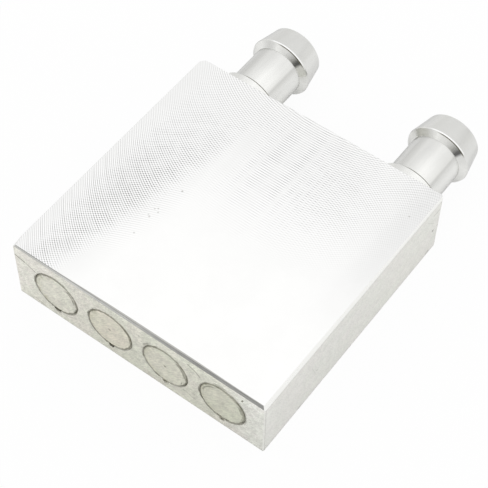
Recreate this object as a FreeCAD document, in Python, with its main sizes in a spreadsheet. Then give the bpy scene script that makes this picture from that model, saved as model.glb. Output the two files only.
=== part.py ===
"""Liquid cooling cold plate.

A milled aluminium block with four coolant channels drilled side by side from its front face.
Round plugs are pressed into the channel mouths and staked. Galleries milled between the channels
join them into one serpentine path, which starts and ends in two turned hose fittings pressed
into the back face.

Frame: origin at the centre of the block's bottom face, +X along the row of plugs, +Y from the
plugs to the fittings, +Z up through the block. Millimetres.
"""
import FreeCAD
import Part
import Sketcher
import math
import os

# ------------------------------------------------------------------ driving sizes, in mm

SIZES = {
    # block
    "block_width": 40.0,
    "block_depth": 40.0,
    "block_height": 10.7,
    "back_left_round": 1.0,
    "back_right_round": 0.65,
    "front_left_break": 0.1,
    "front_right_break": 0.15,
    "bottom_break": 0.12,
    "top_break": 0.1,
    # hand-filed bevels on two top edges, each with its own size at either end
    "front_bevel_left": 0.22,
    "front_bevel_right": 0.3,
    "right_bevel_front": 0.45,
    "right_bevel_back": 0.16,
    "bevel_overrun": 1.0,
    # the front left corner, knocked off at the top
    "knock_width": 0.45,
    "knock_depth": 2.4,
    "knock_drop": 0.45,
    # coolant channels and the galleries that join them
    "channel_height": 5.25,
    "channel_pitch": 8.93,
    "channel_shift": 0.13,
    "channel_radius": 3.0,
    "channel_end_wall": 5.0,
    "gallery_height": 4.6,
    "gallery_breadth": 4.6,
    # channel mouths: a seat for the plug, a countersink and a stake mark below it
    "seat_radius": 3.45,
    "seat_depth": 2.5,
    "mouth_break": 0.16,
    "stake_reach": 0.5,
    # plugs
    "plug_gap": 0.01,
    "plug_edge_break": 0.1,
    "pip_radius": 0.16,
    "pip_tip_radius": 0.06,
    "pip_height": 0.05,
    # bores for the fittings, made in a second set-up
    "fitting_shift": 0.2,
    "fitting_gap": 0.01,
    "bore_relief": 0.5,
    # hose fittings
    "spigot_radius": 3.75,
    "spigot_length": 5.0,
    "spigot_lead_in": 0.3,
    "collar_radius": 4.9,
    "collar_thickness": 1.6,
    "collar_round": 0.35,
    "tube_radius": 3.9,
    "tube_length": 8.5,
    "barb_radius": 4.9,
    "barb_shoulder": 0.7,
    "barb_edge_break": 0.12,
    "barb_tip_radius": 4.1,
    "barb_tip_break": 0.15,
    "fitting_length": 13.2,
    "fitting_bore_radius": 2.75,
    "fitting_bore_break": 0.3,
}

# The block's four upright edges: the size of each, the way it is worked, and its corner.
CORNER_EDGES = (
    ("back_left_round", "Fillet", -1, 1),
    ("back_right_round", "Fillet", 1, 1),
    ("front_left_break", "Chamfer", -1, -1),
    ("front_right_break", "Chamfer", 1, -1),
)
# How far each mouth's countersink sits off the plug's axis, along X and along Z.
MOUTH_DRIFT = {
    1: (0.03, 0.05),
    2: (0.12, -0.02),
    3: (0.06, 0.02),
    4: (0.13, 0.06),
}
# Each stake mark: how far it sits off the plug's axis along X, its radius and its depth.
STAKE_MARKS = {
    1: (-0.08, 0.58, 0.5),
    2: (0.08, 0.44, 0.6),
    3: (-0.1, 0.4, 0.3),
    4: (0.02, 0.34, 0.25),
}
# Plugs that still carry the small pip where they were parted off the bar.
PLUGS_WITH_PIP = (2, 3)

DRILL_POINT_ANGLE = 118.0
CHANNELS = 4


# ------------------------------------------------------------------ sizes that stay bound

class Size:
    """A length worked out from named cells: its number and the words that bind it to them."""

    def __init__(self, number, words):
        self.number = number
        self.words = words

    def __add__(self, other):
        return Size(self.number + other.number, "(%s + %s)" % (self.words, other.words))

    def __sub__(self, other):
        return Size(self.number - other.number, "(%s - %s)" % (self.words, other.words))

    def __neg__(self):
        return Size(-self.number, "(-1 * %s)" % self.words)

    def __mul__(self, factor):
        return Size(self.number * factor, "(%s * %s)" % (self.words, factor))


def size(name):
    """The named cell, with two ways to read it."""
    return Size(SIZES[name], "Sizes." + name)


def bind(thing, prop, length):
    """Ties one property of an object to the sheet."""
    thing.setExpression(prop, length.words)


NOTHING = Size(0.0, "0")
HALF_WIDTH = size("block_width") * 0.5
HALF_DEPTH = size("block_depth") * 0.5
HEIGHT = size("block_height")
AXIS_HEIGHT = size("channel_height")
CHANNEL_DEPTH = size("block_depth") - size("channel_end_wall")
BORE_RADIUS = size("spigot_radius") + size("fitting_gap")


def channel_x(number):
    """X of a channel's axis; channels are numbered from 1 at the left."""
    steps = number - (CHANNELS + 1) / 2
    return size("channel_pitch") * steps + size("channel_shift")


def make_sheet(document):
    """Writes the driving sizes into the sheet, one named cell each."""
    sheet = document.addObject("Spreadsheet::Sheet", "Sizes")
    for number, (across, up) in MOUTH_DRIFT.items():
        SIZES["mouth_drift_across_%d" % number] = across
        SIZES["mouth_drift_up_%d" % number] = up
    for number, (across, radius, depth) in STAKE_MARKS.items():
        SIZES["stake_across_%d" % number] = across
        SIZES["stake_radius_%d" % number] = radius
        SIZES["stake_depth_%d" % number] = depth
    for row, (name, value) in enumerate(SIZES.items(), start=1):
        sheet.set("A%d" % row, name)
        sheet.set("B%d" % row, str(value))
        sheet.setAlias("B%d" % row, name)
    document.recompute()
    return sheet


# ------------------------------------------------------------------ sketches and features

def make_body(document, name):
    """An empty body that becomes one piece of the cold plate."""
    body = document.addObject("PartDesign::Body", name)
    body.Label = name
    return body


def make_sketch(body, name, plane_role, offset=NOTHING):
    """A sketch on one of the body's own planes, moved along that plane's normal."""
    plane = next(item for item in body.Origin.OriginFeatures if item.Role == plane_role)
    sketch = body.newObject("Sketcher::SketchObject", name)
    sketch.AttachmentSupport = [(plane, "")]
    sketch.MapMode = "FlatFace"
    bind(sketch, "AttachmentOffset.Base.z", offset)
    return sketch


def pin_point(sketch, geometry, point, across, up):
    """Fixes one point of a sketch at bound distances from the sketch's origin."""
    for kind, length in (("DistanceX", across), ("DistanceY", up)):
        row = Sketcher.Constraint(kind, -1, 1, geometry, point, length.number)
        index = sketch.addConstraint(row)
        bind(sketch, "Constraints[%d]" % index, length)


def draw_outline(sketch, corners):
    """A closed outline of straight lines through the given corners."""
    count = len(corners)
    places = [FreeCAD.Vector(across.number, up.number, 0) for across, up in corners]
    for index in range(count):
        line = Part.LineSegment(places[index], places[(index + 1) % count])
        sketch.addGeometry(line, False)
    for index in range(count):
        following = (index + 1) % count
        sketch.addConstraint(Sketcher.Constraint("Coincident", index, 2, following, 1))
    for index, (across, up) in enumerate(corners):
        pin_point(sketch, index, 1, across, up)


def draw_circle(sketch, across, up, radius):
    """A circle with a bound centre and radius."""
    centre = FreeCAD.Vector(across.number, up.number, 0)
    circle = Part.Circle(centre, FreeCAD.Vector(0, 0, 1), radius.number)
    geometry = sketch.addGeometry(circle, False)
    index = sketch.addConstraint(Sketcher.Constraint("Radius", geometry, radius.number))
    bind(sketch, "Constraints[%d]" % index, radius)
    pin_point(sketch, geometry, 3, across, up)


def make_pocket(body, name, sketch, depth, reversed_cut=False):
    """Cuts a sketch's outline into the body."""
    pocket = body.newObject("PartDesign::Pocket", name)
    pocket.Profile = sketch
    pocket.Type = "Length"
    pocket.Reversed = reversed_cut
    bind(pocket, "Length", depth)
    return pocket


def repeat_along(body, name, feature, sketch, span, count):
    """Repeats a feature along its sketch's horizontal axis, the last copy one span away."""
    pattern = body.newObject("PartDesign::LinearPattern", name)
    pattern.Originals = [feature]
    pattern.Direction = (sketch, ["H_Axis"])
    pattern.Occurrences = count
    bind(pattern, "Length", span)
    body.Tip = pattern
    return pattern


def make_revolution(body, name, sketch):
    """Turns a sketch about its vertical axis."""
    turned = body.newObject("PartDesign::Revolution", name)
    turned.Profile = sketch
    turned.ReferenceAxis = (sketch, ["V_Axis"])
    turned.Angle = 360
    return turned


def dress_edges(body, name, kind, edge_names, amount):
    """A fillet or a chamfer on named edges of the body's last feature."""
    if not edge_names:
        raise RuntimeError("%s finds no edge to work on" % name)
    last_feature = body.Tip
    feature = body.newObject("PartDesign::" + kind, name)
    feature.Base = (last_feature, edge_names)
    bind(feature, "Radius" if kind == "Fillet" else "Size", amount)
    return feature


def near(one, other, slack=1e-4):
    return abs(one - other) < slack


def find_edges(shape, test):
    """Names of the edges whose middle point, start and end pass a test."""
    names = []
    for index, edge in enumerate(shape.Edges, start=1):
        middle = edge.valueAt((edge.FirstParameter + edge.LastParameter) / 2)
        if test(edge, middle):
            names.append("Edge%d" % index)
    return names


def find_rims(shape, radius, station):
    """Names of the full circles about the turning axis at one radius and one place along it."""
    def is_rim(edge, middle):
        if not isinstance(edge.Curve, Part.Circle):
            return False
        return near(edge.Curve.Radius, radius) and near(edge.Curve.Center.y, station)
    return find_edges(shape, is_rim)


# ------------------------------------------------------------------ the block

def make_blank(body):
    """The sawn and milled blank, with its rounded back corners and its broken edges."""
    outline = make_sketch(body, "blank_outline", "XY_Plane")
    corners = [(-HALF_WIDTH, -HALF_DEPTH), (HALF_WIDTH, -HALF_DEPTH),
               (HALF_WIDTH, HALF_DEPTH), (-HALF_WIDTH, HALF_DEPTH)]
    draw_outline(outline, corners)
    blank = body.newObject("PartDesign::Pad", "blank")
    blank.Profile = outline
    bind(blank, "Length", HEIGHT)
    body.Document.recompute()

    half_width = HALF_WIDTH.number
    half_depth = HALF_DEPTH.number
    for name, kind, right, back in CORNER_EDGES:
        upright = find_edges(body.Tip.Shape, lambda edge, middle: (
            near(middle.x, right * half_width) and near(middle.y, back * half_depth)
            and near(middle.z, HEIGHT.number / 2)))
        dress_edges(body, name + "_edge", kind, upright, size(name))
        body.Document.recompute()
    below = find_edges(body.Tip.Shape, lambda edge, middle: near(middle.z, 0))
    dress_edges(body, "bottom_edges", "Chamfer", below, size("bottom_break"))
    body.Document.recompute()
    above = find_edges(body.Tip.Shape, lambda edge, middle: (
        near(middle.z, HEIGHT.number) and near(middle.y, half_depth)))
    dress_edges(body, "top_edges", "Chamfer", above, size("top_break"))
    body.Document.recompute()


def file_bevel(body, name, plane_role, edge_place, side, ends):
    """A bevel filed along a top edge, whose size changes evenly from one end to the other.

    edge_place is the edge's coordinate in the sketch, side its sign, and ends holds the
    place of each end sketch and the bevel's size there.
    """
    sections = []
    for index, (offset, bevel) in enumerate(ends, start=1):
        section = make_sketch(body, "%s_section_%d" % (name, index), plane_role, offset)
        outer = edge_place + bevel * side
        inner = edge_place - bevel * (2 * side)
        draw_outline(section, [(outer, HEIGHT - bevel * 2), (inner, HEIGHT + bevel),
                               (outer, HEIGHT + bevel)])
        sections.append(section)
    bevel_cut = body.newObject("PartDesign::SubtractiveLoft", name)
    bevel_cut.Profile = sections[0]
    bevel_cut.Sections = [sections[1]]
    bevel_cut.Ruled = True
    body.Document.recompute()


def knock_corner(body):
    """A long slanting facet where the front left corner has been knocked off at the top."""
    width = size("knock_width")
    depth = size("knock_depth")
    drop = size("knock_drop")
    left = -HALF_WIDTH - width
    front = -HALF_DEPTH - depth
    sections = []
    for index, (offset, growth) in enumerate(((HEIGHT + drop, 3), (HEIGHT - drop, 1)), start=1):
        section = make_sketch(body, "corner_section_%d" % index, "XY_Plane", offset)
        draw_outline(section, [(left, front), (width * growth - HALF_WIDTH, front),
                               (left, depth * growth - HALF_DEPTH)])
        sections.append(section)
    corner_cut = body.newObject("PartDesign::SubtractiveLoft", "knocked_corner")
    corner_cut.Profile = sections[0]
    corner_cut.Sections = [sections[1]]
    corner_cut.Ruled = True
    body.Document.recompute()


def drill_channels(body):
    """Four blind channels with counterbored plug seats, drilled from the front face."""
    mouths = make_sketch(body, "channel_centres", "XZ_Plane", HALF_DEPTH)
    for number in range(1, CHANNELS + 1):
        draw_circle(mouths, channel_x(number), AXIS_HEIGHT, size("channel_radius"))
    body.Document.recompute()
    holes = body.newObject("PartDesign::Hole", "channels")
    holes.Profile = mouths
    body.Document.recompute()
    holes.ThreadType = "None"
    holes.DepthType = "Dimension"
    holes.DrillPoint = "Angled"
    holes.DrillPointAngle = DRILL_POINT_ANGLE
    holes.HoleCutType = "Counterbore"
    holes.HoleCutCustomValues = True
    bind(holes, "Diameter", size("channel_radius") * 2)
    bind(holes, "Depth", CHANNEL_DEPTH)
    bind(holes, "HoleCutDiameter", size("seat_radius") * 2)
    bind(holes, "HoleCutDepth", size("seat_depth"))
    body.Document.recompute()


def break_mouths(body):
    """A countersink round each plug seat, a little off its axis, as a hand tool leaves it."""
    face_radius = size("seat_radius") + size("mouth_break")
    for number in range(1, CHANNELS + 1):
        cone = body.newObject("PartDesign::SubtractiveCone", "mouth_%d" % number)
        plane = next(item for item in body.Origin.OriginFeatures if item.Role == "XZ_Plane")
        cone.AttachmentSupport = [(plane, "")]
        cone.MapMode = "FlatFace"
        bind(cone, "AttachmentOffset.Base.x",
             channel_x(number) + size("mouth_drift_across_%d" % number))
        bind(cone, "AttachmentOffset.Base.y",
             AXIS_HEIGHT + size("mouth_drift_up_%d" % number))
        bind(cone, "AttachmentOffset.Base.z", HALF_DEPTH - size("mouth_break"))
        bind(cone, "Radius1", size("seat_radius"))
        bind(cone, "Radius2", face_radius)
        bind(cone, "Height", size("mouth_break"))
        body.Document.recompute()


def stake_mouths(body):
    """A punch mark at the foot of each seat, which locks its plug."""
    foot = AXIS_HEIGHT - size("seat_radius") - size("stake_reach")
    for number in range(1, CHANNELS + 1):
        radius = size("stake_radius_%d" % number)
        mark = make_sketch(body, "stake_outline_%d" % number, "XZ_Plane", HALF_DEPTH)
        draw_circle(mark, channel_x(number) + size("stake_across_%d" % number), foot + radius,
                    radius)
        make_pocket(body, "stake_mark_%d" % number, mark, size("stake_depth_%d" % number))
        body.Document.recompute()


def draw_gallery(sketch, first, last):
    """A slot from one channel's axis to another's."""
    low = AXIS_HEIGHT - size("gallery_height") * 0.5
    high = AXIS_HEIGHT + size("gallery_height") * 0.5
    left = channel_x(first)
    right = channel_x(last)
    draw_outline(sketch, [(left, low), (right, low), (right, high), (left, high)])


def mill_galleries(body):
    """Slots between neighbouring channels: 1 to 2 and 3 to 4 behind the plugs, 2 to 3 at the back."""
    front_place = HALF_DEPTH - size("seat_depth")
    front = make_sketch(body, "front_gallery_outline", "XZ_Plane", front_place)
    draw_gallery(front, 1, 2)
    slot = make_pocket(body, "front_gallery", front, size("gallery_breadth"))
    repeat_along(body, "front_galleries", slot, front, size("channel_pitch") * 2, 2)
    body.Document.recompute()
    back_place = HALF_DEPTH - CHANNEL_DEPTH + size("gallery_breadth")
    back = make_sketch(body, "back_gallery_outline", "XZ_Plane", back_place)
    draw_gallery(back, 2, 3)
    make_pocket(body, "back_gallery", back, size("gallery_breadth"))
    body.Document.recompute()


def bore_for_fittings(body):
    """Two bores from the back face, which open into the first and the last channel."""
    bores = make_sketch(body, "fitting_bore_outline", "XZ_Plane", -HALF_DEPTH)
    draw_circle(bores, channel_x(1) + size("fitting_shift"), AXIS_HEIGHT, BORE_RADIUS)
    depth = size("spigot_length") + size("bore_relief")
    bore = make_pocket(body, "fitting_bore", bores, depth, reversed_cut=True)
    repeat_along(body, "fitting_bores", bore, bores, size("channel_pitch") * 3, 2)
    body.Document.recompute()


def make_block(document):
    body = make_body(document, "cold_plate_block")
    make_blank(body)
    past_side = HALF_WIDTH + size("bevel_overrun")
    past_face = HALF_DEPTH + size("bevel_overrun")
    file_bevel(body, "front_bevel", "YZ_Plane", -HALF_DEPTH, -1,
               [(-past_side, size("front_bevel_left")), (past_side, size("front_bevel_right"))])
    file_bevel(body, "right_bevel", "XZ_Plane", HALF_WIDTH, 1,
               [(past_face, size("right_bevel_front")), (-past_face, size("right_bevel_back"))])
    knock_corner(body)
    drill_channels(body)
    break_mouths(body)
    stake_mouths(body)
    mill_galleries(body)
    bore_for_fittings(body)
    return body


# ------------------------------------------------------------------ the plugs

def make_plug(document, number):
    """A turned disc, flush with the front face and bottomed on the seat's shoulder."""
    body = make_body(document, "channel_plug_%d" % number)
    rim = size("seat_radius") - size("plug_gap")
    thickness = size("seat_depth")
    face_break = size("plug_edge_break")
    front = [(NOTHING, NOTHING)]
    if number in PLUGS_WITH_PIP:
        front = [(NOTHING, -size("pip_height")), (size("pip_tip_radius"), -size("pip_height")),
                 (size("pip_radius"), NOTHING)]
    back = [(rim - face_break, NOTHING), (rim, face_break), (rim, thickness),
            (NOTHING, thickness)]
    profile = make_sketch(body, "plug_profile_%d" % number, "XY_Plane")
    draw_outline(profile, front + back)
    make_revolution(body, "plug_turning_%d" % number, profile)
    bind(body, "Placement.Base.x", channel_x(number))
    bind(body, "Placement.Base.y", -HALF_DEPTH)
    bind(body, "Placement.Base.z", AXIS_HEIGHT)
    document.recompute()
    return body


# ------------------------------------------------------------------ the hose fittings

def make_fitting(document, name, channel):
    """A turned hose fitting: spigot, collar, plain tube and a tapered barb, bored through."""
    body = make_body(document, name)
    bore = size("fitting_bore_radius")
    spigot = size("spigot_radius")
    spigot_end = -size("spigot_length")
    spigot_lead = size("spigot_lead_in")
    collar = size("collar_radius")
    collar_face = size("collar_thickness")
    tube = size("tube_radius")
    shoulder = size("tube_length")
    barb = size("barb_radius")
    barb_place = shoulder + size("barb_shoulder")
    tip = size("barb_tip_radius")
    end = size("fitting_length")
    bore_break = size("fitting_bore_break")
    profile = make_sketch(body, "profile_of_" + name, "XY_Plane")
    draw_outline(profile, [
        (bore, spigot_end), (spigot - spigot_lead, spigot_end), (spigot, spigot_end + spigot_lead),
        (spigot, NOTHING), (collar, NOTHING), (collar, collar_face), (tube, collar_face),
        (tube, shoulder), (barb, barb_place), (tip, end), (bore + bore_break, end),
        (bore, end - bore_break)])
    make_revolution(body, "turning_of_" + name, profile)
    document.recompute()
    rims = [
        ("collar_round", "Fillet", collar, collar_face),
        ("barb_edge_break", "Chamfer", barb, barb_place),
        ("barb_tip_break", "Chamfer", tip, end),
    ]
    for rim_name, kind, radius, station in rims:
        edges = find_rims(body.Tip.Shape, radius.number, station.number)
        dress_edges(body, "%s_of_%s" % (rim_name, name), kind, edges, size(rim_name))
        document.recompute()
    bind(body, "Placement.Base.x", channel_x(channel) + size("fitting_shift"))
    bind(body, "Placement.Base.y", HALF_DEPTH)
    bind(body, "Placement.Base.z", AXIS_HEIGHT)
    document.recompute()
    return body


# ------------------------------------------------------------------ checks and export

def check_document(document, pieces):
    """Stops the build on a feature that failed or on a piece with no sound solid."""
    for item in document.Objects:
        if "Invalid" in item.State or "Error" in item.State:
            raise RuntimeError("%s failed: %s" % (item.Name, item.State))
    for piece in pieces:
        shape = piece.Shape
        if shape.isNull() or not shape.isValid() or len(shape.Solids) != 1:
            raise RuntimeError("%s has no sound single solid" % piece.Label)


def check_coolant_path(block):
    """Compares the block with its blank, so that a cut that points outwards is noticed."""
    blank = SIZES["block_width"] * SIZES["block_depth"] * SIZES["block_height"]
    channel = math.pi * SIZES["channel_radius"] ** 2 * CHANNEL_DEPTH.number
    bore = math.pi * BORE_RADIUS.number ** 2 * SIZES["spigot_length"]
    left = blank - block.Shape.Volume
    if left < CHANNELS * channel + bore:
        raise RuntimeError("the block has lost too little: %.1f cubic mm" % left)


def main():
    document = FreeCAD.newDocument("cold_plate")
    make_sheet(document)
    pieces = [make_block(document)]
    for number in range(1, CHANNELS + 1):
        pieces.append(make_plug(document, number))
    pieces.append(make_fitting(document, "inlet_fitting", 1))
    pieces.append(make_fitting(document, "outlet_fitting", CHANNELS))
    document.recompute()
    check_document(document, pieces)
    check_coolant_path(pieces[0])
    os.makedirs("parts", exist_ok=True)
    for piece in pieces:
        piece.Shape.exportStep("parts/%s.step" % piece.Label)
        box = piece.Shape.BoundBox
        print("%-18s volume %8.1f  x %6.2f %6.2f  y %6.2f %6.2f  z %6.2f %6.2f" % (
            piece.Label, piece.Shape.Volume, box.XMin, box.XMax, box.YMin, box.YMax,
            box.ZMin, box.ZMax))


main()
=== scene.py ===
"""Finishes, light and camera for the liquid cooling cold plate.

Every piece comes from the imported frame. This script gives the milled block, the pressed plugs and
the turned hose fittings their metal finishes, and sets up the table, the light and the camera.
Lengths in the finishes are in millimetres, measured in the frame's own axes.
"""

import math

import bpy
from mathutils import Matrix, Vector


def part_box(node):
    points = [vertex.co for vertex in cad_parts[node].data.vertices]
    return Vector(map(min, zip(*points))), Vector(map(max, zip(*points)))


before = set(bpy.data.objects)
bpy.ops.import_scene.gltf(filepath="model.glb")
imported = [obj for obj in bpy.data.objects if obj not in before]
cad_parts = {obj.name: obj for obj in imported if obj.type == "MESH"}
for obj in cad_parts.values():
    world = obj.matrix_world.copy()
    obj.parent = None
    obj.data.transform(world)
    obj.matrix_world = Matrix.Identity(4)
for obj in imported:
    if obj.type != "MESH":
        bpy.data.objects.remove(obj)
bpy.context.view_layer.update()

MM = 0.001

# ------------------------------------------------------------------ places on the object, in mm


def box_mm(node):
    low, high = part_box(node)
    return low / MM, high / MM


BLOCK_LOW, BLOCK_HIGH = box_mm("cold_plate_block")
PLUG_NODES = ["channel_plug_%d" % number for number in (1, 2, 3, 4)]
PLUG_BOXES = [box_mm(node) for node in PLUG_NODES]
PLUG_CENTRES = [(low + high) / 2 for low, high in PLUG_BOXES]
PLUG_RADIUS = (PLUG_BOXES[0][1].x - PLUG_BOXES[0][0].x) / 2
PLUG_PITCH = PLUG_CENTRES[1].x - PLUG_CENTRES[0].x
PLUG_HEIGHT = PLUG_CENTRES[0].z
FITTING_NODES = ["inlet_fitting", "outlet_fitting"]
FITTING_BOXES = [box_mm(node) for node in FITTING_NODES]
FRONT = BLOCK_LOW.y
TOP = BLOCK_HIGH.z

# ------------------------------------------------------------------ the camera

CAMERA_PLACE = Vector((69.24, -93.69, 170.07))
CAMERA_AIM = Vector((1.386, 0.954, 5.35))
CAMERA_ROLL = math.radians(1.156)
CAMERA_LENS = 112.58


def add_camera():
    """A long lens that looks down on the plugged edge from the right."""
    camera = bpy.data.objects.new("camera", bpy.data.cameras.new("camera"))
    bpy.context.collection.objects.link(camera)
    camera.data.sensor_width = 36.0
    camera.data.lens = CAMERA_LENS
    camera.data.clip_start = 0.01
    camera.data.clip_end = 20.0
    forward = (CAMERA_AIM - CAMERA_PLACE).normalized()
    turn = forward.to_track_quat("-Z", "Y").to_matrix().to_4x4()
    place = Matrix.Translation(CAMERA_PLACE * MM)
    camera.matrix_world = place @ turn @ Matrix.Rotation(CAMERA_ROLL, 4, "Z")
    bpy.context.scene.camera = camera


# ------------------------------------------------------------------ building finishes from nodes

WAVES_PER_TURN = 20  # of a wave texture at scale 1, along a distance of tau


class Finish:
    """One material, with short ways to work out its colour, roughness and relief."""

    def __init__(self, name):
        self.material = bpy.data.materials.new(name)
        self.material.use_nodes = True
        self.tree = self.material.node_tree
        self.tree.nodes.clear()
        self.out = self.add("ShaderNodeOutputMaterial")
        self.metal = self.add("ShaderNodeBsdfPrincipled")
        self.tree.links.new(self.metal.outputs["BSDF"], self.out.inputs["Surface"])
        source = self.add("ShaderNodeTexCoord")
        scale = self.add("ShaderNodeMapping")
        scale.inputs["Scale"].default_value = (1 / MM, 1 / MM, 1 / MM)
        self.feed(scale.inputs["Vector"], source.outputs["Object"])
        self.place = scale.outputs["Vector"]
        self.x, self.y, self.z = self.split(self.place)
        self.facing_x, self.facing_y, self.facing_z = self.split(source.outputs["Normal"])

    def add(self, kind):
        return self.tree.nodes.new(kind)

    def feed(self, socket, value):
        if isinstance(value, bpy.types.NodeSocket):
            self.tree.links.new(value, socket)
        elif socket.type == "VECTOR":
            socket.default_value = value[:3]
        else:
            socket.default_value = value

    def split(self, vector):
        node = self.add("ShaderNodeSeparateXYZ")
        self.feed(node.inputs[0], vector)
        return node.outputs[0], node.outputs[1], node.outputs[2]

    def join(self, x, y, z):
        node = self.add("ShaderNodeCombineXYZ")
        for socket, value in zip(node.inputs, (x, y, z)):
            self.feed(socket, value)
        return node.outputs[0]

    def math(self, operation, *values):
        node = self.add("ShaderNodeMath")
        node.operation = operation
        for socket, value in zip(node.inputs, values):
            self.feed(socket, value)
        return node.outputs[0]

    def plus(self, one, other):
        return self.math("ADD", one, other)

    def minus(self, one, other):
        return self.math("SUBTRACT", one, other)

    def times(self, one, other, *more):
        result = self.math("MULTIPLY", one, other)
        for value in more:
            result = self.math("MULTIPLY", result, value)
        return result

    def largest(self, one, *more):
        result = one
        for value in more:
            result = self.math("MAXIMUM", result, value)
        return result

    def fade(self, value, start, end, low=0.0, high=1.0):
        """Goes smoothly from low to high as value goes from start to end."""
        node = self.add("ShaderNodeMapRange")
        node.interpolation_type = "SMOOTHSTEP"
        for socket, number in zip(node.inputs, (value, start, end, low, high)):
            self.feed(socket, number)
        return node.outputs[0]

    def band(self, value, centre, half_width, softness):
        """1 within half_width of centre, and 0 a little further out."""
        away = self.math("ABSOLUTE", self.minus(value, centre))
        return self.fade(away, half_width + softness, half_width)

    def noise(self, vector, scale, detail=2.0, roughness=0.5, distortion=0.0):
        node = self.add("ShaderNodeTexNoise")
        self.feed(node.inputs["Vector"], vector)
        node.inputs["Scale"].default_value = scale
        node.inputs["Detail"].default_value = detail
        node.inputs["Roughness"].default_value = roughness
        node.inputs["Distortion"].default_value = distortion
        return node.outputs["Fac"]

    def wave(self, distance, pitch, wobble=0.0, wobble_scale=1.0):
        """Evenly spaced ridges along a distance given as a vector's X, one every pitch."""
        node = self.add("ShaderNodeTexWave")
        node.wave_type = "BANDS"
        node.bands_direction = "X"
        node.wave_profile = "SIN"
        self.feed(node.inputs["Vector"], distance)
        node.inputs["Scale"].default_value = math.tau / (WAVES_PER_TURN * pitch)
        node.inputs["Distortion"].default_value = wobble
        node.inputs["Detail"].default_value = 1.0
        node.inputs["Detail Scale"].default_value = wobble_scale
        return node.outputs["Fac"]

    def stretched(self, turn, grain):
        """Coordinates turned about an axis and divided by the grain's size along each new axis."""
        node = self.add("ShaderNodeMapping")
        node.vector_type = "TEXTURE"
        self.feed(node.inputs["Vector"], self.place)
        node.inputs["Rotation"].default_value = turn
        node.inputs["Scale"].default_value = grain
        return node.outputs["Vector"]

    def painted_light_round(self, angle, table):
        """A painted light and shade that follows a table of (degrees from straight up, tone) round
        an axis.
        """
        node = self.add("ShaderNodeValToRGB")
        self.feed(node.inputs[0], self.math("MULTIPLY_ADD", angle, 1 / math.tau, 0.5))
        stops = node.color_ramp.elements
        while len(stops) < len(table):
            stops.new(0.5)
        for stop, (degrees, tone) in zip(stops, table):
            stop.position = degrees / 360 + 0.5
            stop.color = (tone, tone, tone, 1.0)
        return node.outputs["Color"]

    def blend(self, factor, one, other):
        node = self.add("ShaderNodeMix")
        node.data_type = "RGBA"
        self.feed(node.inputs[0], factor)
        self.feed(node.inputs[6], one)
        self.feed(node.inputs[7], other)
        return node.outputs[2]

    def shade(self, colour, factor):
        """A colour made lighter or darker by a factor."""
        node = self.add("ShaderNodeVectorMath")
        node.operation = "SCALE"
        self.feed(node.inputs[0], colour)
        self.feed(node.inputs["Scale"], factor)
        return node.outputs[0]

    def shade_where(self, colour, mask, factor):
        """A colour made lighter or darker by a factor where a mask is 1."""
        return self.shade(colour, self.fade(mask, 0.0, 1.0, 1.0, factor))

    def tinted(self, colour, tint):
        """A colour multiplied by another one, channel by channel."""
        node = self.add("ShaderNodeVectorMath")
        node.operation = "MULTIPLY"
        self.feed(node.inputs[0], colour)
        self.feed(node.inputs[1], tint)
        return node.outputs[0]

    def length(self, across, up):
        """How far a place is from the axis that across and up are measured from."""
        squares = self.plus(self.times(across, across), self.times(up, up))
        return self.math("SQRT", squares)

    def spot(self, u, v, place, radius, softness=0.08):
        """A round spot at a place of a flat face with coordinates u and v."""
        away = self.length(self.minus(u, place[0]), self.minus(v, place[1]))
        return self.fade(away, radius + softness, radius)

    def scratch(self, u, v, start, end, half_width, softness=0.06):
        """A straight scratch on a flat face with coordinates u and v."""
        length = math.dist(start, end)
        run_u = (end[0] - start[0]) / length
        run_v = (end[1] - start[1]) / length
        across = self.minus(u, start[0])
        up = self.minus(v, start[1])
        along = self.plus(self.times(across, run_u), self.times(up, run_v))
        off = self.math("ABSOLUTE", self.minus(self.times(up, run_u), self.times(across, run_v)))
        inside = self.band(along, length / 2, length / 2, softness * 2)
        return self.times(inside, self.fade(off, half_width + softness, half_width))

    def marks(self, colour, masks, dark):
        """Lays a dark tone over a colour through (mask, strength) pairs; the strongest counts."""
        strongest = self.largest(*[self.times(mask, strength) for mask, strength in masks])
        return self.blend(strongest, colour, dark)

    def streaks(self, turn, grain):
        """Fine rubbed streaks along one direction of a face, from 0 to 1."""
        return self.fade(self.noise(self.stretched(turn, grain), 1.0, 2.0, 0.6), 0.34, 0.66)

    def finish(self, colour, roughness, relief, depth, rim=1.0):
        """Bare metal with a relief of some depth in mm.

        rim is how light the metal stays where its surface turns away.
        """
        self.feed(self.metal.inputs["Base Color"], colour)
        self.feed(self.metal.inputs["Roughness"], roughness)
        self.metal.inputs["Metallic"].default_value = 1.0
        self.metal.inputs["Specular Tint"].default_value = (rim, rim, rim, 1.0)
        bump = self.add("ShaderNodeBump")
        bump.inputs["Strength"].default_value = 1.0
        bump.inputs["Distance"].default_value = depth * MM
        self.feed(bump.inputs["Height"], relief)
        self.feed(self.metal.inputs["Normal"], bump.outputs["Normal"])
        return self.material


def grey(red, green, blue):
    return (red, green, blue, 1.0)


# ------------------------------------------------------------------ the milled block

# a dark tone for real dirt, pits, scratches and seams, also laid as painted shade lines
DIRT_AND_SHADE = grey(0.105, 0.098, 0.060)
TOOL_MARK_DEPTH = 0.002

# the face mill that left its arcs on the top
CUTTER_RADIUS = 25.0
CUTTER_FEED = 0.375
RIDGE_SHARPNESS = 4.0
RIDGE_MEAN = 0.27  # of a ridge from 0 to 1 that has been raised to RIDGE_SHARPNESS
TOP_TONE = 0.99
TOP_TINT = grey(1.0, 1.0, 0.993)

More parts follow.
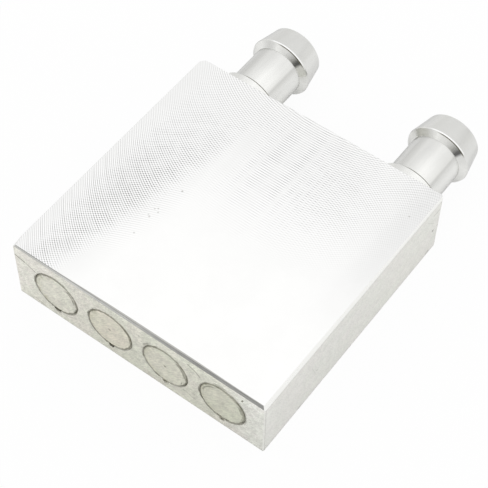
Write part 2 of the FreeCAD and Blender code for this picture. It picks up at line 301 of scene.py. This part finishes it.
# the rubbed faces: colours from one end to the other, turn of the streaks and unevenness
FRONT_LEFT_COLOUR = grey(0.90, 0.89, 0.83)
FRONT_MIDDLE_COLOUR = grey(0.81, 0.81, 0.735)
FRONT_RIGHT_COLOUR = grey(0.88, 0.88, 0.845)
FRONT_TURN = (0, 0.85, 0)
FRONT_UNEVENNESS = 0.125
SIDE_FRONT_COLOUR = grey(0.86, 0.86, 0.83)
SIDE_BACK_COLOUR = grey(0.89, 0.89, 0.855)
SIDE_TURN = (0.5, 0, 0)
SIDE_UNEVENNESS = 0.05

# edges: the front bevel's size and tone at its left and right ends, the tone being a painted
# dark reflection, and the other edges' colours
BEVEL_SIZES = (0.22, 0.3)
BEVEL_PAINTED_REFLECTION_TONES = (0.59, 0.335)
BEVEL_TINT = grey(1.0, 1.0, 0.965)
EDGE_COLOUR = grey(0.84, 0.84, 0.83)
RIGHT_STRIP_COLOUR = grey(0.97, 0.97, 0.95)

# the seam round each plug: how far out its stain reaches, how dark it is, and the colour of the
# seat's wall behind it, painted light to lift the shade in the seat and its stake notches
SEAM_REACH = (3.49, 3.76)
SEAM_DARKNESS = 0.84
RECESS_PAINTED_LIGHT = grey(0.95, 0.94, 0.88)

# start, end, half width and darkness of each scratch on the plugged face, as (x, z)
FRONT_SCRATCHES = [
    ((-19.9, 8.65), (-18.3, 8.25), 0.05, 0.85),
    ((-18.3, 8.25), (-16.5, 7.45), 0.04, 0.70),
    ((8.3, 9.4), (9.3, 9.0), 0.09, 0.50),
    ((9.3, 9.0), (10.2, 8.2), 0.08, 0.48),
    ((16.55, 9.0), (16.7, 9.4), 0.08, 0.85),
    ((7.5, 2.5), (9.3, 1.9), 0.07, 0.30),
    ((7.8, 3.2), (9.3, 3.0), 0.06, 0.22),
    ((-17.4, 0.95), (-15.5, 0.45), 0.06, 0.30),
]
# place, radius and darkness of each pit on the plugged face, as (x, z)
FRONT_PITS = [
    ((-18.3, 8.25), 0.1, 0.6),
    ((-8.4, 9.65), 0.1, 0.25),
    ((0.6, 8.45), 0.12, 0.3),
    ((9.3, 8.9), 0.12, 0.25),
]
# the same two lists for the right side, as (y, z)
SIDE_SCRATCHES = [
    ((-10.0, 6.8), (-8.8, 3.7), 0.03, 0.12),
    ((16.2, 8.6), (18.1, 6.6), 0.02, 0.15),
    ((17.7, 8.55), (19.3, 8.5), 0.12, 0.2),
]
SIDE_PITS = [
    ((-8.75, 4.75), 0.1, 0.35),
    ((18.2, 4.8), 0.18, 0.6),
    ((-12.3, 0.3), 0.3, 0.2),
    ((17.6, 0.5), 0.4, 0.18),
    ((19.3, 4.9), 0.14, 0.3),
]
# place, radius and darkness of each pit on the top, as (x, y)
TOP_PITS = [
    ((-7.9, -0.2), 0.1, 0.4),
    ((-8.3, -4.8), 0.08, 0.3),
    ((-8.65, -4.3), 0.08, 0.28),
    ((-9.0, -4.6), 0.08, 0.28),
    ((-8.8, -6.0), 0.1, 0.3),
    ((-9.1, -5.8), 0.08, 0.2),
    ((-8.75, -9.2), 0.1, 0.25),
    ((18.1, 14.3), 0.1, 0.25),
]

# Marks round the plugs: plug, direction from its axis in degrees (0 to the right, 90 up), half
# the angle covered, inner and outer radius, and darkness.
SEAM_MARKS = [
    (1, 78, 16, 3.30, 3.72, 0.65),
    (1, 28, 20, 2.98, 3.16, 0.65),
    (1, 25, 24, 3.40, 3.66, 0.53),
    (1, -45, 22, 3.42, 3.66, 0.53),
    (1, 178, 24, 3.28, 3.66, 0.34),
    (2, 38, 17, 3.34, 3.78, 0.70),
    (2, 172, 26, 3.38, 3.62, 0.31),
    (2, 98, 26, 3.34, 3.60, 0.25),
    (3, 27, 22, 2.96, 3.22, 0.53),
    (3, 32, 22, 3.42, 3.62, 0.40),
    (3, 140, 7, 3.42, 3.95, 0.40),
    (3, 192, 24, 3.38, 3.58, 0.19),
    (4, 142, 24, 2.92, 3.08, 0.46),
    (4, 150, 34, 3.36, 3.62, 0.46),
    (4, 64, 14, 3.15, 3.62, 0.46),
    (4, 93, 10, 3.45, 4.05, 0.37),
    (4, 42, 22, 3.35, 3.95, 0.31),
    (4, 4, 22, 3.10, 3.80, 0.34),
    (4, 22, 9, 2.95, 3.20, 0.53),
    (4, -48, 30, 3.38, 3.64, 0.50),
    (4, -97, 5, 3.20, 3.55, 0.78),
    (4, -78, 4, 3.20, 3.50, 0.78),
]

# reach and darkness of the stain round each plug's stake mark
STAKE_STAINS = {1: (0.46, 0.38), 2: (0.36, 0.38), 3: (0.40, 0.28), 4: (0.34, 0.38)}


def seam_marks(finish, number):
    """The marks that lie round one plug, for the block and for the plug itself."""
    centre = PLUG_CENTRES[number - 1]
    across = finish.minus(finish.x, centre.x)
    up = finish.minus(finish.z, centre.z)
    radius = finish.length(across, up)
    rough = finish.fade(finish.noise(finish.place, 2.2, 3.0, 0.7), 0.3, 0.62, 0.6, 1.2)
    masks = []
    own = [mark[1:] for mark in SEAM_MARKS if mark[0] == number]
    for direction, spread, inner, outer, strength in own:
        run_x = math.cos(math.radians(direction))
        run_z = math.sin(math.radians(direction))
        toward = finish.plus(finish.times(across, run_x), finish.times(up, run_z))
        turn = finish.math("DIVIDE", toward, radius)
        inside = finish.fade(turn, math.cos(math.radians(spread + 9)),
                             math.cos(math.radians(spread - 3)))
        ring = finish.band(radius, (inner + outer) / 2, (outer - inner) / 2, 0.08)
        masks.append((finish.times(inside, ring, rough), strength))
    return masks


def nearest_plug(finish):
    """Distance from the axis of the nearest plug."""
    first = PLUG_CENTRES[0].x
    steps = finish.math("ROUND", finish.times(finish.minus(finish.x, first), 1 / PLUG_PITCH))
    steps = finish.math("MINIMUM", finish.largest(steps, 0.0), 3.0)
    across = finish.minus(finish.minus(finish.x, first), finish.times(steps, PLUG_PITCH))
    return finish.length(across, finish.minus(finish.z, PLUG_HEIGHT))


def patch(finish, centre, reach):
    """1 in the middle of a long round patch of the top, 0 beyond its reach."""
    along = finish.times(finish.minus(finish.x, centre[0]), 1 / reach[0])
    back = finish.times(finish.minus(finish.y, centre[1]), 1 / reach[1])
    return finish.fade(finish.length(along, back), 1.0, 0.1)


def milled_face(finish):
    """The crossed arcs of a face mill fed along Y, with a painted sheen that shows them clearly
    in some patches and faintly in others.

    Gives the colour of the top and its relief.
    """
    x, y = finish.x, finish.y

    # the ridges that the mill's leading and trailing edges cut
    reach = finish.math("SQRT", finish.minus(CUTTER_RADIUS ** 2, finish.times(x, x)))
    drift = finish.times(finish.noise(finish.place, 0.08, 1.0), 0.5)
    sweeps = (finish.plus(finish.plus(y, reach), drift),
              finish.plus(finish.minus(y, reach), drift))
    lines = []
    for sweep in sweeps:
        ridge = finish.wave(finish.join(sweep, 0.0, 0.0), CUTTER_FEED)
        ridge = finish.minus(finish.math("POWER", ridge, RIDGE_SHARPNESS), RIDGE_MEAN)
        uneven = finish.noise(finish.join(sweep, 0.0, 0.0), 1.1, 2.0, 0.7)
        lines.append(finish.times(ridge, finish.fade(uneven, 0.35, 0.65, 0.7, 1.15)))
    leading, trailing = lines

    # where they show: patches of painted sheen, where the arcs catch the light
    slant = finish.plus(x, finish.times(y, -0.22))
    left_patch = finish.times(finish.fade(slant, -7.8, -11.2),
                              finish.fade(y, 15.0, -2.0, 0.45, 1.0),
                              finish.fade(x, -20.5, -15.0, 0.45, 1.0))
    fringe = finish.times(finish.fade(slant, -5.0, -9.0, 0.0, 0.42), finish.fade(y, 5.0, -2.0),
                          finish.fade(y, -15.0, -11.0))
    back_patch = finish.largest(finish.times(patch(finish, (3.0, 15.0), (24.0, 19.0)), 0.9),
                                finish.times(patch(finish, (17.0, 21.0), (14.0, 13.0)), 0.8))
    mottle = finish.fade(finish.noise(finish.place, 0.5, 3.0, 0.65), 0.35, 0.6, 0.75, 1.1)
    fainter_arcs = finish.fade(patch(finish, (-6.5, 9.0), (4.5, 8.0)), 0.0, 1.0, 1.0, 0.25)
    clear = finish.largest(left_patch, finish.times(back_patch, fainter_arcs, 0.75))
    clear = finish.times(clear, mottle)
    crossing = finish.times(finish.fade(x, -19.5, -15.0), finish.fade(y, 19.0, 12.0, 0.6, 1.0))
    trailing = finish.times(trailing, crossing)
    arcs = finish.plus(finish.times(leading, clear, 0.7),
                       finish.times(trailing, finish.largest(clear, fringe), 0.6))
    arcs = finish.times(arcs, finish.fade(slant, -8.0, -13.0, 1.0, 1.2))
    gouges = finish.noise(finish.join(sweeps[0], 0.0, 0.0), 1.6, 2.0, 0.6)
    gouges = finish.times(finish.fade(gouges, 0.55, 0.66), finish.fade(x, -14.0, -17.5),
                          finish.fade(y, 6.0, -4.0, 0.0, 0.10))
    arcs = finish.plus(arcs, finish.times(gouges, finish.fade(x, -19.9, -19.4)))

    # painted shade and sheen: the top painted darker towards the back, the left and the right edge,
    # with a dark sheen patch at the left and sheen bands along Y; also a faint random cloud
    back = finish.fade(y, -8.0, 20.0, 0.0, 0.085)
    left = finish.fade(slant, -4.5, -12.5, 0.0, 0.09)
    dark_sheen_patch = finish.times(patch(finish, (-14.0, -4.0), (6.0, 10.0)), 0.06)
    right = finish.times(finish.fade(x, 14.5, 19.0, 0.0, 0.065), finish.fade(y, -12.0, 10.0))
    cloud = finish.fade(finish.noise(finish.place, 0.16, 3.0, 0.6), 0.35, 0.65, 0.012, 0.0)
    sheen_bands = finish.noise(finish.join(x, finish.times(y, 0.04), 0.0), 0.8, 2.0)
    sheen_bands = finish.times(finish.fade(sheen_bands, 0.35, 0.65, 0.0, 0.02), back_patch)
    darker = finish.plus(finish.plus(finish.largest(back, left), dark_sheen_patch),
                         finish.plus(finish.plus(right, cloud), sheen_bands))
    tone = finish.minus(TOP_TONE, darker)
    face = finish.shade(TOP_TINT, finish.times(tone, finish.minus(1.0, arcs)))

    # pits, and a painted shadow line where the top rolls over into the front bevel
    masks = [(finish.spot(x, y, place, radius), strength) for place, radius, strength in TOP_PITS]
    shadow_line_offset = finish.plus(finish.fade(x, -18.0, 0.0, 0.20, 0.46),
                         finish.fade(x, 8.0, 16.0, 0.0, -0.08))
    masks.append((finish.fade(finish.minus(y, shadow_line_offset), FRONT + 0.04, FRONT - 0.04), 0.55))
    relief = finish.times(finish.plus(leading, trailing), clear)
    return finish.marks(face, masks, DIRT_AND_SHADE), relief


def mottled(finish, colour, amount):
    """Lets a colour wander a little between pinkish and greenish."""
    hue = finish.noise(finish.place, 0.33, 3.0, 0.7)
    pinkish = grey(1 + 0.01 * amount, 1 - 0.015 * amount, 1 - 0.02 * amount)
    greenish = grey(1 - 0.01 * amount, 1.0, 1 - 0.035 * amount)
    return finish.tinted(colour, finish.blend(finish.fade(hue, 0.38, 0.62), pinkish, greenish))


def rubbed_face(finish, colour, turn, unevenness, u, v, scratches, pits):
    """A sawn face rubbed down by hand: streaks, a little mottling, scratches and pits.

    u and v are the face's own two coordinates. Gives its colour and its relief.
    """
    streaks = finish.streaks(turn, (0.19, 0.19, 0.8))
    blotch = finish.noise(finish.place, 0.9, 4.0, 0.7)
    grit = finish.noise(finish.stretched(turn, (0.12, 0.12, 0.22)), 1.0, 2.0, 0.6)
    tone = finish.times(finish.fade(streaks, 0.0, 1.0, 1 - 0.65 * unevenness, 1 + 0.3 * unevenness),
                        finish.fade(blotch, 0.34, 0.66, 1 - unevenness, 1 + 0.4 * unevenness),
                        finish.fade(grit, 0.3, 0.7, 1 - unevenness, 1 + 0.8 * unevenness))
    face = mottled(finish, finish.shade(colour, tone), 0.2 + 5 * unevenness)
    masks = [(finish.scratch(u, v, start, end, half_width), strength)
             for start, end, half_width, strength in scratches]
    masks += [(finish.spot(u, v, place, radius), strength) for place, radius, strength in pits]
    return finish.marks(face, masks, DIRT_AND_SHADE), streaks


def filed_bevel_painted_reflection(finish):
    """The filed front bevel with a painted dark reflection: dull at the left, darker to the right,
    darkest along its upper edge.
    """
    size_here = finish.fade(finish.x, BLOCK_LOW.x, BLOCK_HIGH.x, *BEVEL_SIZES)
    down = finish.math("DIVIDE", finish.minus(TOP, finish.z), size_here)
    border = finish.fade(down, 0.45, 0.1)
    filed = finish.noise(finish.stretched((0, 0, 0), (1.4, 0.2, 0.2)), 1.0, 2.0)
    tone = finish.fade(finish.x, -8.0, 10.0, *BEVEL_PAINTED_REFLECTION_TONES)
    tone = finish.times(tone, finish.fade(filed, 0.3, 0.7, 0.9, 1.08))
    border = finish.times(border, finish.fade(finish.x, -10.0, 6.0, 0.45, 0.15))
    tone = finish.times(tone, finish.minus(1.0, border))
    return finish.shade(BEVEL_TINT, tone)


def plugged_face(finish, radius, shallow, wander):
    """The front face with the stains of the seams and stake marks round its plugs."""
    x, z = finish.x, finish.z
    colour = finish.blend(finish.fade(x, -18.0, 0.0), FRONT_LEFT_COLOUR, FRONT_MIDDLE_COLOUR)
    colour = finish.blend(finish.fade(x, 12.0, 18.5), colour, FRONT_RIGHT_COLOUR)
    front, grain = rubbed_face(finish, colour, FRONT_TURN, FRONT_UNEVENNESS, x, z,
                               FRONT_SCRATCHES, FRONT_PITS)
    under_bevel = finish.times(finish.fade(z, 8.4, 9.6), finish.fade(x, -6.0, 0.0))
    front = finish.shade_where(front, under_bevel, 1.09)

    seam = finish.minus(radius, finish.fade(wander, 0.3, 0.7, *SEAM_REACH))
    seam = finish.times(finish.fade(seam, 0.07, -0.07), shallow,
                        finish.fade(finish.noise(finish.place, 0.9, 2.0), 0.35, 0.65, 0.68, 1.0))
    masks = [(seam, SEAM_DARKNESS)]
    for number, centre in enumerate(PLUG_CENTRES, start=1):
        masks += seam_marks(finish, number)
        reach, strength = STAKE_STAINS[number]
        stake = (centre.x, PLUG_HEIGHT - PLUG_RADIUS - 0.3)
        masks.append((finish.spot(x, z, stake, reach, 0.2), strength))
    return finish.marks(front, masks, DIRT_AND_SHADE), grain


def side_face(finish, facing_right):
    """The right side, with a faint strip under its bevel and a faint line by the front edge."""
    y, z = finish.y, finish.z
    colour = finish.blend(finish.fade(y, -8.0, 14.0), SIDE_FRONT_COLOUR, SIDE_BACK_COLOUR)
    side, grain = rubbed_face(finish, colour, SIDE_TURN, SIDE_UNEVENNESS, y, z,
                              SIDE_SCRATCHES, SIDE_PITS)
    under_strip = finish.times(facing_right, finish.band(z, TOP - 0.62, 0.08, 0.12))
    side = finish.shade_where(side, under_strip, 0.94)
    front_line = finish.times(facing_right, finish.band(y, FRONT + 0.22, 0.03, 0.06),
                              finish.fade(z, TOP, TOP - 0.4))
    return finish.blend(finish.times(front_line, 0.3), side, DIRT_AND_SHADE), grain


def block_finish():
    """Each face of the block by the way it faces, then its edges and the mouths of its seats."""
    finish = Finish("milled_aluminium")
    y, z = finish.y, finish.z
    facing_up = finish.math("GREATER_THAN", finish.math("ABSOLUTE", finish.facing_z), 0.99)
    facing_front = finish.math("LESS_THAN", finish.facing_y, -0.99)
    facing_right = finish.math("GREATER_THAN", finish.facing_x, 0.99)
    slanting = finish.band(finish.math("ABSOLUTE", finish.facing_z), 0.6, 0.35, 0.02)

    radius = nearest_plug(finish)
    wander = finish.noise(finish.place, 1.1, 3.0, 0.7)
    shallow = finish.fade(y, FRONT + 0.9, FRONT + 0.4)
    top, arcs = milled_face(finish)
    side, side_grain = side_face(finish, facing_right)
    front, front_grain = plugged_face(finish, radius, shallow, wander)

    # bevels and broken edges
    right_strip = finish.times(finish.math("GREATER_THAN", finish.facing_x, 0.3),
                               finish.fade(z, TOP - 0.5, TOP - 0.4))
    foot = finish.times(finish.fade(z, 0.4, 0.12), finish.minus(1.0, facing_up))
    front_bevel = finish.times(finish.math("LESS_THAN", finish.facing_y, -0.3),
                               finish.math("GREATER_THAN", finish.facing_z, 0.3))
    knocked = finish.times(finish.math("LESS_THAN", finish.facing_x, -0.3),
                           finish.math("LESS_THAN", y, FRONT + 2.5))
    # the front bevel, which gets a painted dark reflection
    filed = finish.times(slanting, front_bevel, finish.minus(1.0, knocked))

    # the seats' walls: painted light inside, against the shade in them, and dirty at the mouth
    recess = finish.times(finish.fade(radius, 4.6, 4.5), shallow, finish.minus(1.0, facing_front))
    mouth = finish.times(recess, finish.fade(radius, 3.72, 3.62),
                         finish.fade(wander, 0.3, 0.7, 0.6, 0.85))

    colour = finish.blend(facing_front, side, front)
    colour = finish.blend(right_strip, colour, RIGHT_STRIP_COLOUR)
    colour = finish.blend(slanting, colour, EDGE_COLOUR)
    colour = finish.blend(finish.times(slanting, right_strip), colour, RIGHT_STRIP_COLOUR)
    colour = finish.blend(filed, colour, filed_bevel_painted_reflection(finish))
    colour = finish.shade_where(colour, foot, 0.86)
    colour = finish.blend(facing_up, colour, top)
    colour = finish.blend(recess, colour, RECESS_PAINTED_LIGHT)
    colour = finish.blend(mouth, colour, DIRT_AND_SHADE)

    grain = finish.blend(facing_front, side_grain, front_grain)
    relief = finish.blend(facing_up, grain, arcs)
    roughness = finish.fade(finish.noise(finish.place, 0.5, 3.0), 0.3, 0.7, 0.36, 0.44)
    roughness = finish.minus(roughness, finish.times(slanting, 0.12))
    return finish.finish(colour, roughness, relief, TOOL_MARK_DEPTH)


# ------------------------------------------------------------------ the plugs

# each plug's metal, how stained its lower left is, and how dark its middle is
PLUG_COLOURS = {
    1: grey(0.87, 0.865, 0.785),
    2: grey(0.85, 0.825, 0.725),
    3: grey(0.81, 0.81, 0.715),
    4: grey(0.76, 0.765, 0.665),
}
PLUG_STAINS = {1: 0.85, 2: 0.35, 3: 0.35, 4: 0.35}
PLUG_PIPS = {1: 0.06, 2: 0.5, 3: 0.5, 4: 0.06}
# scratches on a plug's face: start, end, half width and darkness, as (x, z)
PLUG_SCRATCHES = {3: [((7.15, 3.55), (7.25, 3.85), 0.05, 0.6)]}
STAIN = grey(0.46, 0.44, 0.31)
PLUG_EDGE_DARKNESS = 0.72
PLUG_BEVEL_DARKNESS = 0.52


def plug_finish(number):
    """Turned faces, rubbed flush with the block, each with its own stains."""
    finish = Finish("plug_aluminium_%d" % number)
    centre = PLUG_CENTRES[number - 1]
    across = finish.minus(finish.x, centre.x)
    up = finish.minus(finish.z, centre.z)
    radius = finish.length(across, up)
    turning = finish.wave(finish.join(radius, 0.0, 0.0), 0.36, 0.8, 0.6)
    streaks = finish.streaks((0, 0.8, 0), (0.2, 0.2, 1.0))
    cloud = finish.noise(finish.place, 0.7, 4.0, 0.7)
    tone = finish.times(finish.fade(turning, 0.0, 1.0, 0.97, 1.01),
                        finish.fade(streaks, 0.0, 1.0, 0.90, 1.05),
                        finish.fade(cloud, 0.32, 0.68, 0.85, 1.05))
    colour = mottled(finish, finish.shade(PLUG_COLOURS[number], tone), 0.7)
    stained = finish.times(finish.fade(radius, 2.1, 3.2), finish.fade(across, 1.5, -3.0),
                           finish.fade(finish.noise(finish.place, 0.8, 3.0, 0.7), 0.4, 0.65))
    colour = finish.blend(finish.times(stained, PLUG_STAINS[number]), colour, STAIN)

    # the worn edge and its bevel, the middle, and the marks of this plug
    wander = finish.noise(finish.place, 1.3, 3.0, 0.7)
    rim = finish.fade(wander, 0.3, 0.7, PLUG_RADIUS - 0.08, PLUG_RADIUS - 0.24)
    edge = finish.fade(finish.minus(radius, rim), -0.05, 0.05)
    edge = finish.times(edge, finish.fade(finish.noise(finish.place, 0.9, 2.0),
                                          0.35, 0.65, 0.65, 1.0))
    bevel = finish.math("GREATER_THAN", finish.facing_y, -0.95)
    masks = [(edge, PLUG_EDGE_DARKNESS), (bevel, PLUG_BEVEL_DARKNESS),
             (finish.fade(radius, 0.32, 0.12), PLUG_PIPS[number])]
    masks += [(finish.scratch(finish.x, finish.z, start, end, half_width), strength)
              for start, end, half_width, strength in PLUG_SCRATCHES.get(number, [])]
    colour = finish.marks(colour, masks + seam_marks(finish, number), DIRT_AND_SHADE)
    roughness = finish.fade(cloud, 0.3, 0.7, 0.38, 0.48)
    return finish.finish(colour, roughness, finish.plus(turning, streaks), TOOL_MARK_DEPTH)


# ------------------------------------------------------------------ the hose fittings

# how far from the block's back face the collar ends and the barb's shoulder starts
COLLAR_END = 1.6
SHOULDER_START = 8.5
FITTING_MARK_DEPTH = 0.0008
FITTING_RIM = 0.8
FITTING_TINT = grey(1.0, 1.0, 0.975)
BARB_EDGE_PAINTED_HIGHLIGHT = grey(0.99, 0.99, 0.985)
# Painted highlights, shade and reflections round each turned surface's axis: degrees from straight
# up, and tone. The dip in the cone's table is a painted dark reflection.
TUBE_PAINTED_LIGHT = [(-120, 0.72), (-60, 0.71), (-45, 0.80), (-35, 0.68), (-25, 0.70), (-15, 0.77),
              (-5, 0.82), (5, 0.88), (15, 0.96), (35, 0.94), (44, 0.88), (49, 0.70), (55, 0.77),
              (65, 0.87), (75, 0.92), (105, 0.92), (150, 0.80)]
BARREL_PAINTED_LIGHT = [(-120, 0.70), (-70, 0.62), (-57, 0.72), (-45, 0.77), (-35, 0.83), (-25, 0.79),
                (-15, 0.75), (5, 0.73), (25, 0.74), (35, 0.71), (45, 0.775), (55, 0.82),
                (65, 0.85), (75, 0.83), (95, 0.90), (110, 0.84), (150, 0.80)]
CONE_PAINTED_LIGHT = [(-120, 0.85), (-60, 0.92), (-45, 0.90), (-35, 0.76), (-25, 0.70), (-15, 0.75),
              (-5, 0.91), (5, 0.81), (15, 0.77), (25, 0.63), (34, 0.44), (42, 0.15), (47, 0.13),
              (53, 0.78), (65, 0.80), (75, 0.90), (95, 0.98), (150, 0.95)]
COLLAR_PAINTED_LIGHT = [(-120, 0.90), (-45, 0.96), (-35, 0.86), (-25, 0.79), (-15, 0.76), (-5, 0.85),
                (5, 0.91), (15, 0.97), (150, 0.97)]


def fitting_finish(name, box):
    """Bright turned aluminium with fine tool marks and painted highlights, shade and reflections
    round its axis.
    """
    finish = Finish("turned_aluminium_" + name)
    low, high = box
    axis_x = (low.x + high.x) / 2
    axis_z = (low.z + high.z) / 2
    across = finish.minus(finish.x, axis_x)
    up = finish.minus(finish.z, axis_z)
    radius = finish.length(across, up)
    out = finish.minus(finish.y, BLOCK_HIGH.y)
    marks = finish.wave(finish.join(finish.y, 0.0, 0.0), 0.16, 0.4, 0.5)
    streaks = finish.noise(finish.stretched((0, 0, 0), (1.1, 8.0, 1.1)), 1.0, 3.0, 0.6)
    tone = finish.times(finish.fade(marks, 0.0, 1.0, 0.985, 1.0),
                        finish.fade(streaks, 0.3, 0.7, 0.965, 1.01))
    around = finish.math("ARCTAN2", across, up)
    head = finish.math("GREATER_THAN", out, SHOULDER_START - 0.02)
    # painted shade along the upper right of the tube, towards the barb
    tube_painted_shade = finish.times(finish.fade(out, 3.0, 7.5, 0.0, 0.10), finish.band(around, 0.3, 0.3, 0.3))
    tube = finish.shade(finish.painted_light_round(around, TUBE_PAINTED_LIGHT), finish.minus(1.0, tube_painted_shade))
    colour = finish.blend(head, tube, finish.painted_light_round(around, BARREL_PAINTED_LIGHT))
    collar = finish.fade(out, COLLAR_END, COLLAR_END - 0.1)
    colour = finish.blend(collar, colour, finish.painted_light_round(around, COLLAR_PAINTED_LIGHT))
    shoulder = finish.times(finish.math("LESS_THAN", finish.facing_y, -0.6), head)
    colour = finish.blend(shoulder, colour, finish.painted_light_round(around, CONE_PAINTED_LIGHT))
    colour = finish.tinted(finish.shade(colour, tone), FITTING_TINT)

    # a painted highlight on the edge of the barb
    edge = finish.times(finish.fade(out, 9.12, 9.18), finish.fade(out, 9.36, 9.28),
                        finish.band(around, 0.3, 0.52, 0.2))
    colour = finish.blend(edge, colour, BARB_EDGE_PAINTED_HIGHLIGHT)

    # painted dark lines standing in for shade and dark reflections: one on the collar's round and
    # one along the shoulder's rim
    line = finish.times(finish.band(out, COLLAR_END - 0.13, 0.12, 0.03),
                        finish.math("GREATER_THAN", radius, 4.55), finish.fade(around, -0.3, 0.1))
    rim = finish.times(finish.band(radius, 4.75, 0.05, 0.04), shoulder,
                       finish.fade(around, -0.2, 0.1), finish.fade(around, 1.05, 0.85))
    colour = finish.marks(colour, [(line, 0.9), (rim, 0.85)], DIRT_AND_SHADE)
    roughness = finish.fade(finish.noise(finish.place, 0.8, 2.0), 0.3, 0.7, 0.16, 0.24)
    return finish.finish(colour, roughness, marks, FITTING_MARK_DEPTH, rim=FITTING_RIM)


def dress(node, material):
    """Puts a finish on a piece of the frame."""
    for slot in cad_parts[node].material_slots:
        slot.material = material


# ------------------------------------------------------------------ the table and the light

TABLE_SIZE = 4.0
TABLE_COLOUR = (0.92, 0.92, 0.92, 1.0)
WHITE = (1.0, 1.0, 1.0, 1.0)
# how much of the table's own white glow a ray sees straight, and how much in the metal
SEEN_WHITE = 0.95
MIRRORED_WHITE = 0.15
# the room's light at eye level, and from the height at which it is whitest
SKY_LOW = (0.90, 0.90, 0.89, 1.0)
SKY_HIGH = (1.0, 1.0, 1.0, 1.0)
SKY_HEIGHT = 0.9
SOFTBOX_PLACE = (-0.05, 0.12, 0.7)
SOFTBOX_SIZE = 0.5
SOFTBOX_POWER = 0.05


def add_table():
    """A plain white table top, at the height that the block stands on."""
    table = bpy.data.objects.new("table", bpy.data.meshes.new("table"))
    bpy.context.collection.objects.link(table)
    half = TABLE_SIZE / 2
    corners = [(-half, -half, 0), (half, -half, 0), (half, half, 0), (-half, half, 0)]
    table.data.from_pydata(corners, [], [(0, 1, 2, 3)])
    material = bpy.data.materials.new("white_table")
    material.use_nodes = True
    tree = material.node_tree
    tree.nodes.clear()
    out = tree.nodes.new("ShaderNodeOutputMaterial")
    paper = tree.nodes.new("ShaderNodeBsdfDiffuse")
    paper.inputs["Color"].default_value = TABLE_COLOUR
    white = tree.nodes.new("ShaderNodeEmission")
    white.inputs["Color"].default_value = WHITE
    white.inputs["Strength"].default_value = 1.0
    rays = tree.nodes.new("ShaderNodeLightPath")
    shares = []
    for kind, amount in (("Is Camera Ray", SEEN_WHITE), ("Is Transmission Ray", SEEN_WHITE),
                         ("Is Glossy Ray", MIRRORED_WHITE)):
        share = tree.nodes.new("ShaderNodeMath")
        share.operation = "MULTIPLY"
        tree.links.new(rays.outputs[kind], share.inputs[0])
        share.inputs[1].default_value = amount
        shares.append(share)
    share = shares[0]
    for other in shares[1:]:
        largest = tree.nodes.new("ShaderNodeMath")
        largest.operation = "MAXIMUM"
        tree.links.new(share.outputs[0], largest.inputs[0])
        tree.links.new(other.outputs[0], largest.inputs[1])
        share = largest
    mix = tree.nodes.new("ShaderNodeMixShader")
    tree.links.new(share.outputs[0], mix.inputs[0])
    tree.links.new(paper.outputs[0], mix.inputs[1])
    tree.links.new(white.outputs[0], mix.inputs[2])
    tree.links.new(mix.outputs[0], out.inputs["Surface"])
    table.data.materials.append(material)


def add_surroundings():
    """A white room, a little greyer at eye level."""
    world = bpy.data.worlds.new("studio")
    bpy.context.scene.world = world
    world.use_nodes = True
    tree = world.node_tree
    tree.nodes.clear()
    out = tree.nodes.new("ShaderNodeOutputWorld")
    glow = tree.nodes.new("ShaderNodeBackground")
    source = tree.nodes.new("ShaderNodeTexCoord")
    split = tree.nodes.new("ShaderNodeSeparateXYZ")
    tree.links.new(source.outputs["Generated"], split.inputs[0])
    height = tree.nodes.new("ShaderNodeMapRange")
    height.interpolation_type = "SMOOTHSTEP"
    tree.links.new(split.outputs[2], height.inputs[0])
    height.inputs[1].default_value = 0.0
    height.inputs[2].default_value = SKY_HEIGHT
    sky = tree.nodes.new("ShaderNodeMix")
    sky.data_type = "RGBA"
    tree.links.new(height.outputs[0], sky.inputs[0])
    sky.inputs[6].default_value = SKY_LOW
    sky.inputs[7].default_value = SKY_HIGH
    tree.links.new(sky.outputs[2], glow.inputs["Color"])
    glow.inputs["Strength"].default_value = 1.0
    tree.links.new(glow.outputs[0], out.inputs["Surface"])


def add_softbox(name, place, aim, width, power):
    """A square soft lamp; place and aim in metres."""
    lamp = bpy.data.lights.new(name, "AREA")
    lamp.shape = "SQUARE"
    lamp.size = width
    lamp.energy = power
    holder = bpy.data.objects.new(name, lamp)
    bpy.context.collection.objects.link(holder)
    place, aim = Vector(place), Vector(aim)
    turn = (aim - place).to_track_quat("-Z", "Y").to_matrix().to_4x4()
    holder.matrix_world = Matrix.Translation(place) @ turn


# ------------------------------------------------------------------ putting it together

bpy.context.scene.view_settings.view_transform = "Standard"
add_camera()
add_table()
add_surroundings()
add_softbox("overhead_softbox", SOFTBOX_PLACE, (0.0, 0.0, 0.0), SOFTBOX_SIZE, SOFTBOX_POWER)

dress("cold_plate_block", block_finish())
for number, node in enumerate(PLUG_NODES, start=1):
    dress(node, plug_finish(number))
for node, box in zip(FITTING_NODES, FITTING_BOXES):
    dress(node, fitting_finish(node, box))
